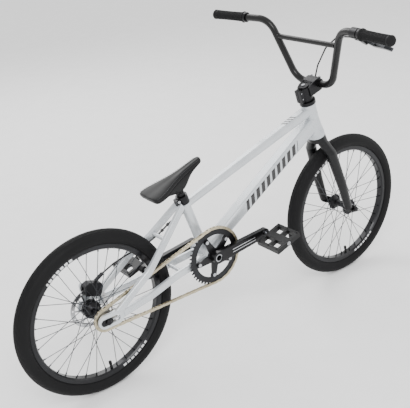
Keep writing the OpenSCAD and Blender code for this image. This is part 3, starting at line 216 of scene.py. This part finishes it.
crank_axle = Vector((-0.104449, 0, 0.297))
down_end = steer_point(0, 0, 358)
down_way = (down_end - crank_axle).normalized()
down_across = Vector((-down_way.z, 0, down_way.x))
down_bars = (crank_axle, down_way, down_across, (0.185, 0.445), 0.0155, 0.0260, 0.64, -0.55)
seat_slope = radians(72.3)
seat_up = Vector((-cos(seat_slope), 0, sin(seat_slope)))
top_start = crank_axle + seat_up * 0.180
top_way = (steer_point(0, 0, 402) - top_start).normalized()
top_across = Vector((-top_way.z, 0, top_way.x))
top_bars = (top_start, top_way, left, (0.42, 0.468), 0.010, 0.012, 0.6, 0.4)
dress(pearl("pearl white lacquer, head and rear"), "head_tube", "seat_tube", "bottom_bracket_shell",
      "chainstays", "seatstays", "dropout_left", "dropout_right")
dress(pearl("pearl white lacquer, down tube", [down_bars]), "down_tube")
dress(pearl("pearl white lacquer, top tube", [top_bars]), "top_tube")

# ------------------------------------------------------------ weld beads
# Hand laid aluminium welds run round each joint under the paint. Only the two
# round the bottom bracket shell are drawn. Each bead is a row of small
# overlapping scallops, about 4 mm wide.


def revolved(name, profile, steps, wave=None, closed=False):
    """A mesh turned about its own Z from (radius, height) points. wave moves a radius at a place."""
    verts, faces, n = [], [], len(profile)
    for i in range(steps):
        a = 2 * pi * i / steps
        for j, (r, z) in enumerate(profile):
            rr = r + (wave(i, j) if wave else 0)
            verts.append((rr * cos(a), rr * sin(a), z))
    rows = n if closed else n - 1
    for i in range(steps):
        for j in range(rows):
            k, m = (i + 1) % steps, (j + 1) % n
            faces.append((i * n + j, k * n + j, k * n + m, i * n + m))
    mesh = bpy.data.meshes.new(name)
    mesh.from_pydata(verts, [], faces)
    mesh.validate()
    made = bpy.data.objects.new(name, mesh)
    bpy.context.scene.collection.objects.link(made)
    for f in mesh.polygons:
        f.use_smooth = True
    return made


def placed(piece, origin, z_way, x_way):
    """Stands a piece at origin with its Z and X turned to those directions."""
    z = Vector(z_way).normalized()
    x = (Vector(x_way) - Vector(x_way).dot(z) * z).normalized()
    y = z.cross(x)
    turn = Matrix((x, y, z)).transposed().to_4x4()
    piece.matrix_world = Matrix.Translation(origin) @ turn
    return piece


bead_paint = pearl("pearl white lacquer over weld")
bead = 0.0018
for side in (-1, 1):
    ring = revolved("weld_bracket_%s" % ("left" if side > 0 else "right"),
                    [(0.0231 + bead * cos(a), bead * sin(a)) for a in [2 * pi * k / 10 for k in range(10)]],
                    96, lambda i, j: 0.0004 * sin(i * 2 * pi / 6), closed=True)
    placed(ring, crank_axle + left * side * 0.0225, left, seat_up)
    ring.data.materials.append(bead_paint)
    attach(ring, "frame")

# --------------------------------------------------------------- black metal
# Stem, collars, hubs, chainring and brake are cut or forged aluminium, bead
# blasted and anodised black. It looks dark grey on edges, with a soft sheen.


def anodised(name, colours=("0b0b0d", "19191c"), roughness=(0.28, 0.42), size_mm=0.5):
    """Blasted and anodised aluminium: near black, with a fine grit that softens its sheen."""
    mat, shader, place = new_finish(name, {"Metallic": 0.75, "Coat Weight": 0.15, "Coat Roughness": 0.3})
    grain(mat, shader, place, size_mm, colours, roughness, 0.03)
    return mat


black_anodised = anodised("black anodised aluminium, blasted")
turned_metal = anodised("black anodised aluminium, turned", size_mm=0.9)
cast_housing = anodised("black cast brake housing", ("131315", "26272a"), (0.4, 0.55), 0.8)
lever_metal = anodised("black anodised lever", ("1c1d20", "34363a"), (0.25, 0.4))
dress(black_anodised, "seat_collar", "headset_cover", "stem", "stem_faceplate", "stem_top_cap",
      "grip_collars", "seatpost", "axle_adjusters", "bottom_bracket_cups", "crank_arm_left",
      "brake_lever_body", edge_mm=0.6)
dress(turned_metal, "front_hub", "rear_hub", "front_axle", "rear_axle")
dress(cast_housing, "brake_caliper", edge_mm=0.8)
dress(lever_metal, "lever_blade", edge_mm=0.8)

# The right arm carries two fine pale lines along its outer face.
arm_metal, arm_shader, arm_place = new_finish("black anodised crank with pale lines",
                                              {"Metallic": 0.7, "Coat Weight": 0.2})
arm_tint = grain(arm_metal, arm_shader, arm_place, 0.5, ("0b0b0d", "19191c"), (0.28, 0.42), 0.03)
arm_rise = radians(8)
arm_way = Vector((cos(arm_rise), 0, sin(arm_rise)))
arm_across = Vector((-sin(arm_rise), 0, cos(arm_rise)))
arm_s = along(arm_metal, arm_place, crank_axle, arm_way)
arm_t = along(arm_metal, arm_place, crank_axle, arm_across)
arm_out = along(arm_metal, arm_place, crank_axle, -left)
on_face = add(arm_metal, "Math", {0: arm_out, 1: 0.0695}, operation="GREATER_THAN").outputs[0]
line_length = window(arm_metal, arm_s, 0.050, 0.135)
line = add(arm_metal, "Math", {0: line_length, 1: on_face}, operation="MULTIPLY").outputs[0]
upper_line = window(arm_metal, arm_t, 0.0035, 0.0055)
lower_line = window(arm_metal, arm_t, -0.0055, -0.0035)
pair = add(arm_metal, "Math", {0: lower_line, 1: upper_line}, operation="ADD").outputs[0]
line = add(arm_metal, "Math", {0: line, 1: pair}, operation="MULTIPLY").outputs[0]
arm_lined = mixed(arm_metal, line, arm_tint, linear("b9bbbe"))
arm_metal.node_tree.links.new(arm_lined, arm_shader.inputs["Base Color"])
dress(arm_metal, "crank_arm_right", edge_mm=1.0)
dress(anodised("black anodised chainring", ("121214", "242528"), (0.3, 0.45)), "chainring", edge_mm=0.25)

# -------------------------------------------------------------- bare steel
# Bolts, pedal axles, bearings, cog, chain and rotor are bright steel: turned,
# rolled or ground, with fine lines that spread the highlight.


def steel(name, colours, roughness, size_mm=0.3, metallic=1.0):
    """Worked steel: bright, with highlights that the tool marks spread."""
    mat, shader, place = new_finish(name, {"Metallic": metallic})
    grain(mat, shader, place, size_mm, colours, roughness, 0.01)
    return mat


dress(steel("zinc plated steel screws", ("9b9da1", "c6c8cb"), (0.25, 0.4)), "frame_bolts", "rotor_bolts",
      "stem_bolts", "chainring_bolts", edge_mm=0.2)
dress(steel("ground bearing steel", ("8e9094", "b4b6b9"), (0.18, 0.3)), "crank_axles", "headset_bearings",
      "front_hub_bearings", "rear_hub_bearings")
dress(steel("nickel plated cog", ("85827c", "aaa69d"), (0.3, 0.45)), "cog", edge_mm=0.2)
dress(steel("ground stainless rotor", ("a3a4a6", "cfd0d2"), (0.2, 0.36), 0.5), "brake_rotor", edge_mm=0.15)

# The chain is brown tinted steel links with a film of oil and dust between them.
chain_steel, chain_shader, chain_place = new_finish("oiled steel chain",
                                                    {"Metallic": 0.9, "Coat Weight": 0.25})
grain(chain_steel, chain_shader, chain_place, 1.5, ("8a8069", "cfc5ab"), (0.25, 0.45), 0.05)
dress(chain_steel, "chain")

# -------------------------------------------------------------------- fork
# The fork is one moulded carbon piece under satin lacquer. The weave barely
# shows, so it is drawn as a faint 4 mm check instead of its real 2 mm.

carbon, carbon_shader, carbon_place = new_finish(
    "satin carbon composite", {"Coat Weight": 0.12, "Coat Roughness": 0.2, "Specular IOR Level": 0.25})
grain(carbon, carbon_shader, carbon_place, 1.0, ("050506", "0b0b0d"), (0.3, 0.42))
tow = 0.004
weave = add(carbon, "TexChecker", {"Vector": carbon_place, "Scale": 1 / tow,
                                   "Color1": linear("050506"), "Color2": linear("0d0e10")})
carbon.node_tree.links.new(weave.outputs[0], carbon_shader.inputs["Base Color"])
dress(carbon, "fork", edge_mm=1.5)

# --------------------------------------------------------------- handlebar
# A bent chromoly steel tube with a brazed crossbar, sprayed satin black. A
# thin fillet of braze closes each end of the crossbar.

# The sprayed coat has a slight orange peel and a long thin highlight.
bar_black, bar_shader, bar_place = new_finish(
    "satin black sprayed steel", {"Coat Weight": 0.15, "Coat Roughness": 0.15, "Specular IOR Level": 0.25})
grain(bar_black, bar_shader, bar_place, 0.7, ("050505", "0d0d0e"), (0.28, 0.4), 0.02)
dress(bar_black, "handlebar")

bar_clamp = steer_point(46, 0, 473)
bar_lean = radians(3.64)
bar_up = steer_up * cos(bar_lean) + steer_front * sin(bar_lean)
bar_front = steer_front * cos(bar_lean) - steer_up * sin(bar_lean)
bar_rise, bar_top_half, bar_low_half, cross_share = 0.193, 0.1515, 0.076, 0.727
bar_sweep, bar_upsweep = radians(9.7), radians(2.7)


def bar_end(side):
    """The upper bend's corner and the way the bar end runs outward from it."""
    corner = bar_clamp + bar_up * bar_rise + left * side * bar_top_half
    flat = cos(bar_upsweep)
    back = bar_front * -flat * sin(bar_sweep)
    return corner, back + left * side * flat * cos(bar_sweep) + bar_up * sin(bar_upsweep)


for side in (-1, 1):
    half = bar_low_half + cross_share * (bar_top_half - bar_low_half)
    spot = bar_clamp + bar_up * bar_rise * cross_share + left * side * (half - 0.0136)
    fillet = revolved("crossbar_braze_%s" % ("left" if side > 0 else "right"),
                      [(0.0081, 0), (0.0084, 0.0015), (0.0092, 0.0030), (0.0104, 0.0042)], 48,
                      lambda i, j: 0.0001 * sin(i * 2 * pi / 8))
    placed(fillet, spot, left * side, bar_up)
    fillet.data.materials.append(bar_black)
    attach(fillet, "steering")

# ------------------------------------------------------------------- grips
# Soft rubber tubes pushed over the bar ends: fine rings to hold the hand, a
# low flange inside and a closed rolled end.

# Moulded rubber is matt and slightly dusty, so it hardly shines at all.
grip_rubber, grip_shader, grip_place = new_finish("moulded black rubber", {"Specular IOR Level": 0.2})
grain(grip_rubber, grip_shader, grip_place, 0.9, ("08080a", "131314"), (0.55, 0.75), 0.08)
grip_start, grip_end, grip_r = 0.100, 0.222, 0.015
ring_pitch = 0.0032
for side in (-1, 1):
    profile = [(0.0112, grip_start + 0.0003), (0.0176, grip_start + 0.0003), (0.0180, grip_start + 0.0012),
               (0.0176, grip_start + 0.0030), (0.0154, grip_start + 0.0042)]
    rings = int((grip_end - grip_start - 0.014) / ring_pitch)
    for k in range(rings):
        z = grip_start + 0.006 + k * ring_pitch
        swell = grip_r - 0.0006 * sin(pi * k / rings)
        root = swell - 0.0011
        profile += [(root, z), (swell, z + 0.0007), (swell, z + 0.0019), (root, z + 0.0026)]
    profile += [(0.0150, grip_end - 0.006), (0.0157, grip_end - 0.003), (0.0156, grip_end + 0.001),
                (0.0140, grip_end + 0.0034), (0.0080, grip_end + 0.0039), (0.0005, grip_end + 0.0039)]
    name = "left" if side > 0 else "right"
    grip = revolved("grip_rubber_" + name, profile, 64,
                    lambda i, j: -0.00035 if (i // 2 + j // 4) % 4 == 0 else 0)
    corner, outward = bar_end(side)
    placed(grip, corner, outward, bar_up)
    grip.data.materials.append(grip_rubber)
    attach(grip, "steering")
    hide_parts("grip_" + name)

# --------------------------------------------------------- hoses and clips
# Nylon brake hose with a smooth, slightly waxy skin, held by soft sleeves.

# Extruded nylon has a soft, even highlight along its length.
hose_skin, hose_shader, hose_place = new_finish("extruded nylon hose", {"Specular IOR Level": 0.45})
grain(hose_skin, hose_shader, hose_place, 1.2, ("111112", "1c1c1e"), (0.38, 0.5), 0.01)
dress(hose_skin, "brake_hose_front", "brake_hose_rear", "hose_clips")

# ------------------------------------------------------------------ saddle
# A race saddle: a thin foam pad under stitched synthetic leather, on a deep
# moulded nylon shell that drops to the seatpost and is narrow at the nose.

saddle_mid = Vector((-0.1895, 0, 0.5653))
saddle_tilt = radians(19)
saddle_way = Vector((cos(saddle_tilt), 0, sin(saddle_tilt)))
saddle_up = Vector((-sin(saddle_tilt), 0, cos(saddle_tilt)))
#        along,  half width, skirt depth, crown
stations = [
    (-0.1005, 0.0300, 0.0120, 0.0010), (-0.0985, 0.0430, 0.0140, 0.0018),
    (-0.0930, 0.0500, 0.0165, 0.0026), (-0.0820, 0.0515, 0.0200, 0.0032),
    (-0.0660, 0.0485, 0.0260, 0.0036), (-0.0480, 0.0420, 0.0335, 0.0036),
    (-0.0280, 0.0335, 0.0420, 0.0032), (-0.0080, 0.0265, 0.0500, 0.0028),
    (0.0100, 0.0215, 0.0500, 0.0026), (0.0260, 0.0185, 0.0430, 0.0026),
    (0.0420, 0.0165, 0.0300, 0.0028), (0.0600, 0.0152, 0.0210, 0.0030),
    (0.0780, 0.0145, 0.0170, 0.0030), (0.0900, 0.0130, 0.0150, 0.0024),
    (0.0970, 0.0095, 0.0130, 0.0014), (0.1005, 0.0045, 0.0115, 0.0004),
]


def lofted(name, rings):
    """Skins a closed mesh over a list of rings with equal numbers of points, and caps both ends."""
    n = len(rings[0])
    verts = [p for ring_points in rings for p in ring_points]
    faces = [(i * n + j, i * n + (j + 1) % n, (i + 1) * n + (j + 1) % n, (i + 1) * n + j)
             for i in range(len(rings) - 1) for j in range(n)]
    faces += [tuple(range(n))[::-1], tuple((len(rings) - 1) * n + j for j in range(n))]
    mesh = bpy.data.meshes.new(name)
    mesh.from_pydata(verts, [], faces)
    mesh.validate()
    for f in mesh.polygons:
        f.use_smooth = True
    made = bpy.data.objects.new(name, mesh)
    bpy.context.scene.collection.objects.link(made)
    soft = made.modifiers.new("rounding", "SUBSURF")
    soft.levels = soft.render_levels = 2
    return made


def saddle_ring(x, half_section):
    """One ring of the saddle from points (across, up) of its left half, mirrored to the right."""
    pts = half_section + [(-a, b) for a, b in reversed(half_section)]
    return [saddle_mid + saddle_way * x + left * a + saddle_up * b for a, b in pts]


cover_rings, shell_rings = [], []
for x, w, d, crown in stations:
    cover_rings.append(saddle_ring(x, [
        (w * 0.10, crown * 0.55), (w * 0.45, crown * 0.9), (w * 0.80, crown * 0.3 - 0.0002),
        (w * 0.97, -0.0035), (w, -0.0075), (w * 0.93, -0.0110), (w * 0.5, -0.0100), (w * 0.1, -0.0095)]))
    low = min(w * 0.72, 0.017)
    shell_rings.append(saddle_ring(x * 0.992, [
        (w * 0.1, -0.0098), (w * 0.88, -0.0104), (w * 0.94, -0.0125),
        (w * 0.80 + low * 0.2, -d * 0.45 - 0.006), (low + 0.001, -d * 0.92), (low * 0.8, -d),
        (low * 0.1, -d)]))
cover = lofted("saddle_padding", cover_rings)
shell = lofted("saddle_shell", shell_rings)

# Synthetic leather has a pebbled grain that breaks its highlight up.
leather, leather_shader, leather_place = new_finish("grained synthetic leather",
                                                    {"Specular IOR Level": 0.22, "Sheen Weight": 0.04})
grain(leather, leather_shader, leather_place, 1.4, ("070708", "111112"), (0.42, 0.6), 0.15)
cover.data.materials.append(leather)
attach(cover, "seat")
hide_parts("saddle_cover")

# Moulded nylon has a fine spark texture and a dull edge highlight.
nylon, nylon_shader, nylon_place = new_finish("moulded black nylon", {"Specular IOR Level": 0.22})
grain(nylon, nylon_shader, nylon_place, 1.0, ("060607", "0f0f10"), (0.4, 0.58), 0.05)
shell.data.materials.append(nylon)
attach(shell, "seat")
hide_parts("saddle_base")

# Two rows of stitches follow the edge of the cover, each 4 mm long in grey thread.
thread, thread_shader, thread_place = new_finish("grey polyester thread", {"Sheen Weight": 0.3})
grain(thread, thread_shader, thread_place, 0.5, ("2f3033", "45464a"), (0.7, 0.85))
for side in (-1, 1):
    run = [saddle_mid + saddle_way * x + left * side * w * 0.86 + saddle_up * (crown * 0.25 - 0.0004)
           for x, w, d, crown in stations[2:-2]]
    verts, faces = [], []
    for a, b in zip(run, run[1:]):
        count = max(1, int((b - a).length / 0.0055))
        for k in range(count):
            p = a.lerp(b, (k + 0.15) / count)
            q = a.lerp(b, (k + 0.85) / count)
            way = (q - p).normalized()
            out = way.cross(saddle_up).normalized() * 0.0006
            rise = saddle_up * 0.0007
            base = len(verts)
            verts += [p - out, p + out, q + out, q - out, p.lerp(q, 0.25) + rise, p.lerp(q, 0.75) + rise]
            faces += [tuple(base + i for i in f) for f in
                      ((0, 1, 4), (1, 2, 5, 4), (2, 3, 5), (3, 0, 4, 5), (3, 2, 1, 0))]
    mesh = bpy.data.meshes.new("stitches")
    mesh.from_pydata(verts, [], faces)
    mesh.validate()
    stitches = bpy.data.objects.new("saddle_stitches_%s" % ("left" if side > 0 else "right"), mesh)
    bpy.context.scene.collection.objects.link(stitches)
    stitches.data.materials.append(thread)
    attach(stitches, "seat")

# ------------------------------------------------------------------ pedals
# Moulded nylon platforms with studs at the corners. The top is grained so
# that it does not polish, and the windows shed mud.

# Glass filled nylon shows a faint fibre mottle and a low gloss.
pedal_nylon, pedal_shader, pedal_place = new_finish("glass filled black nylon", {"Specular IOR Level": 0.28})
grain(pedal_nylon, pedal_shader, pedal_place, 0.9, ("060607", "131314"), (0.35, 0.52), 0.08)
dress(pedal_nylon, "pedal_left", "pedal_right", edge_mm=0.8)

# ------------------------------------------------------------------ wheels
# Black anodised box rims, black spokes and folding tyres with a low block
# tread. Plain pale dashes stand on the rims and the tyre walls.


def wheel_angle(mat, place, centre):
    """The angle round a wheel, from straight ahead, and the distance from its axle."""
    s = along(mat, place, centre, Vector((1, 0, 0)))
    t = along(mat, place, centre, Vector((0, 0, 1)))
    angle = add(mat, "Math", {0: t, 1: s}, operation="ARCTAN2").outputs[0]
    square = add(mat, "Math", {0: s, 1: s}, operation="MULTIPLY").outputs[0]
    square = add(mat, "Math", {0: t, 1: t, 2: square}, operation="MULTIPLY_ADD").outputs[0]
    return angle, add(mat, "Math", {0: square}, operation="SQRT").outputs[0]


def dashes(mat, angle, radius, spans, band, period, share):
    """1 on a row of dashes round a wheel, in angle windows given in degrees."""
    step = add(mat, "Math", {0: angle, 1: radians(period)}, operation="DIVIDE").outputs[0]
    part = add(mat, "Math", {0: step}, operation="FRACT").outputs[0]
    shifted = add(mat, "Math", {0: part, 1: 1.0}, operation="ADD").outputs[0]
    part = add(mat, "Math", {0: shifted}, operation="FRACT").outputs[0]
    on = add(mat, "Math", {0: part, 1: share}, operation="LESS_THAN").outputs[0]
    total = None
    for low, high in spans:
        w = window(mat, angle, radians(low), radians(high))
        total = w if total is None else add(mat, "Math", {0: total, 1: w}, operation="ADD").outputs[0]
    inside = window(mat, radius, band[0], band[1])
    on = add(mat, "Math", {0: on, 1: total}, operation="MULTIPLY").outputs[0]
    return add(mat, "Math", {0: on, 1: inside}, operation="MULTIPLY").outputs[0]


tyre_c, tyre_half, bead_r = 0.226, 0.0225, 0.203
tread_steps = 396
skin_step = 3.9
tread_depth_max = 0.0011


def tyre_profile():
    """(angle from the top of the section, radius from the axle, across) round the tyre's outer skin."""
    pts = [(-999, bead_r + 0.0062, -0.0141)]
    for k in range(-34, 35):
        a = radians(k * skin_step)
        pts.append((k * skin_step, tyre_c + tyre_half * cos(a), tyre_half * sin(a)))
    return [p for p in pts if p[1] > bead_r + 0.0058] + [(999, bead_r + 0.0062, 0.0141)]


def tread_depth(i, degrees_round):
    """Depth of the tread at step i round the tyre: small slanted blocks between shallow grooves."""
    d = abs(degrees_round)
    if d > 62:
        return -0.0003 if 78 < d < 82 or 96 < d < 99 else 0.0
    slant = (i + d * 0.16) % 6
    groove = slant < 1.2 or 14 < d < 17.5 or 33 < d < 37
    fade = min(1.0, (64 - d) / 8)
    return -tread_depth_max * fade if groove else 0.0


for wheel, centre_x in (("front", wheelbase / 2), ("rear", -wheelbase / 2)):
    centre = Vector((centre_x, 0, axle_height))
    # Tyre rubber is dark grey and dull, and lighter where its mould left it rough.
    rubber, rubber_shader, place = new_finish("%s tyre rubber" % wheel, {"Specular IOR Level": 0.15})
    tint = grain(rubber, rubber_shader, place, 1.2, ("0b0b0c", "161617"), (0.55, 0.75), 0.06)
    angle, radius = wheel_angle(rubber, place, centre)
    mark = dashes(rubber, angle, radius, [(-80, -26), (100, 154)], (0.2150, 0.2190), 2.9, 0.62)
    marked = mixed(rubber, mark, tint, linear("cfd0d0"))
    rubber.node_tree.links.new(marked, rubber_shader.inputs["Base Color"])
    outer = tyre_profile()
    skin = [(r, y) for a, r, y in outer]
    inner = [(bead_r + 0.0062, 0.0112), (tyre_c - 0.012, 0.0145), (tyre_c - 0.012, -0.0145),
             (bead_r + 0.0062, -0.0112)]
    count = len(skin)
    tyre = revolved("%s_tyre_tread" % wheel, skin + inner, tread_steps,
                    lambda i, j: tread_depth(i, outer[j][0]) if j < count else 0.0, closed=True)
    placed(tyre, centre, left, Vector((1, 0, 0)))
    tyre.data.materials.append(rubber)
    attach(tyre, "%s_wheel" % wheel)
    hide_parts("%s_tyre" % wheel)

    # The rim's anodising follows fine turning marks, with a soft ring of light.
    rim_metal, rim_shader, place = new_finish("%s rim, black anodised" % wheel,
                                              {"Metallic": 0.7, "Coat Weight": 0.2})
    tint = grain(rim_metal, rim_shader, place, 0.6, ("101012", "212225"), (0.25, 0.38), 0.02)
    angle, radius = wheel_angle(rim_metal, place, centre)
    mark = dashes(rim_metal, angle, radius, [(-76, -48), (104, 132)], (0.1985, 0.2055), 4.2, 0.7)
    marked = mixed(rim_metal, mark, tint, linear("d9dadb"))
    rim_metal.node_tree.links.new(marked, rim_shader.inputs["Base Color"])
    dress(rim_metal, "%s_rim" % wheel)

    spoke_steel = steel("%s spokes, black plated" % wheel, ("2a2b2e", "46484c"), (0.3, 0.45), 0.6, 0.8)
    dress(spoke_steel, "%s_spokes" % wheel)
    tube_rubber, tube_shader, place = new_finish("%s butyl inner tube" % wheel, {"Specular IOR Level": 0.3})
    grain(tube_rubber, tube_shader, place, 2.0, ("101010", "1a1a1a"), (0.6, 0.75), 0.05)
    dress(tube_rubber, "%s_inner_tube" % wheel)

    # Knurled plastic cap on the valve, just inside the rim between two spokes.
    valve_way = Vector((cos(radians(-85)), 0, sin(radians(-85))))
    cap = revolved("%s_valve_cap" % wheel,
                   [(0.0002, -0.0012), (0.0040, -0.0011), (0.0047, 0.0), (0.0048, 0.0080), (0.0044, 0.0092),
                    (0.0041, 0.0093)],
                   36, lambda i, j: -0.0003 if i % 3 == 0 and 1 < j < 4 else 0)
    placed(cap, centre + valve_way * 0.1712, valve_way, left)
    cap.data.materials.append(nylon)
    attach(cap, "%s_wheel" % wheel)

# --------------------------------------------------------------- brake pads
# Steel backed pads with a brown sintered lining, each on its own piston.

# The sintered lining is a crumbly brown with bright copper specks.
lining, lining_shader, lining_place = new_finish("sintered brake lining", {"Metallic": 0.3})
grain(lining, lining_shader, lining_place, 0.5, ("4d4035", "7c6a58"), (0.6, 0.8), 0.1)
dress(lining, "brake_pad_left", "brake_pad_right")
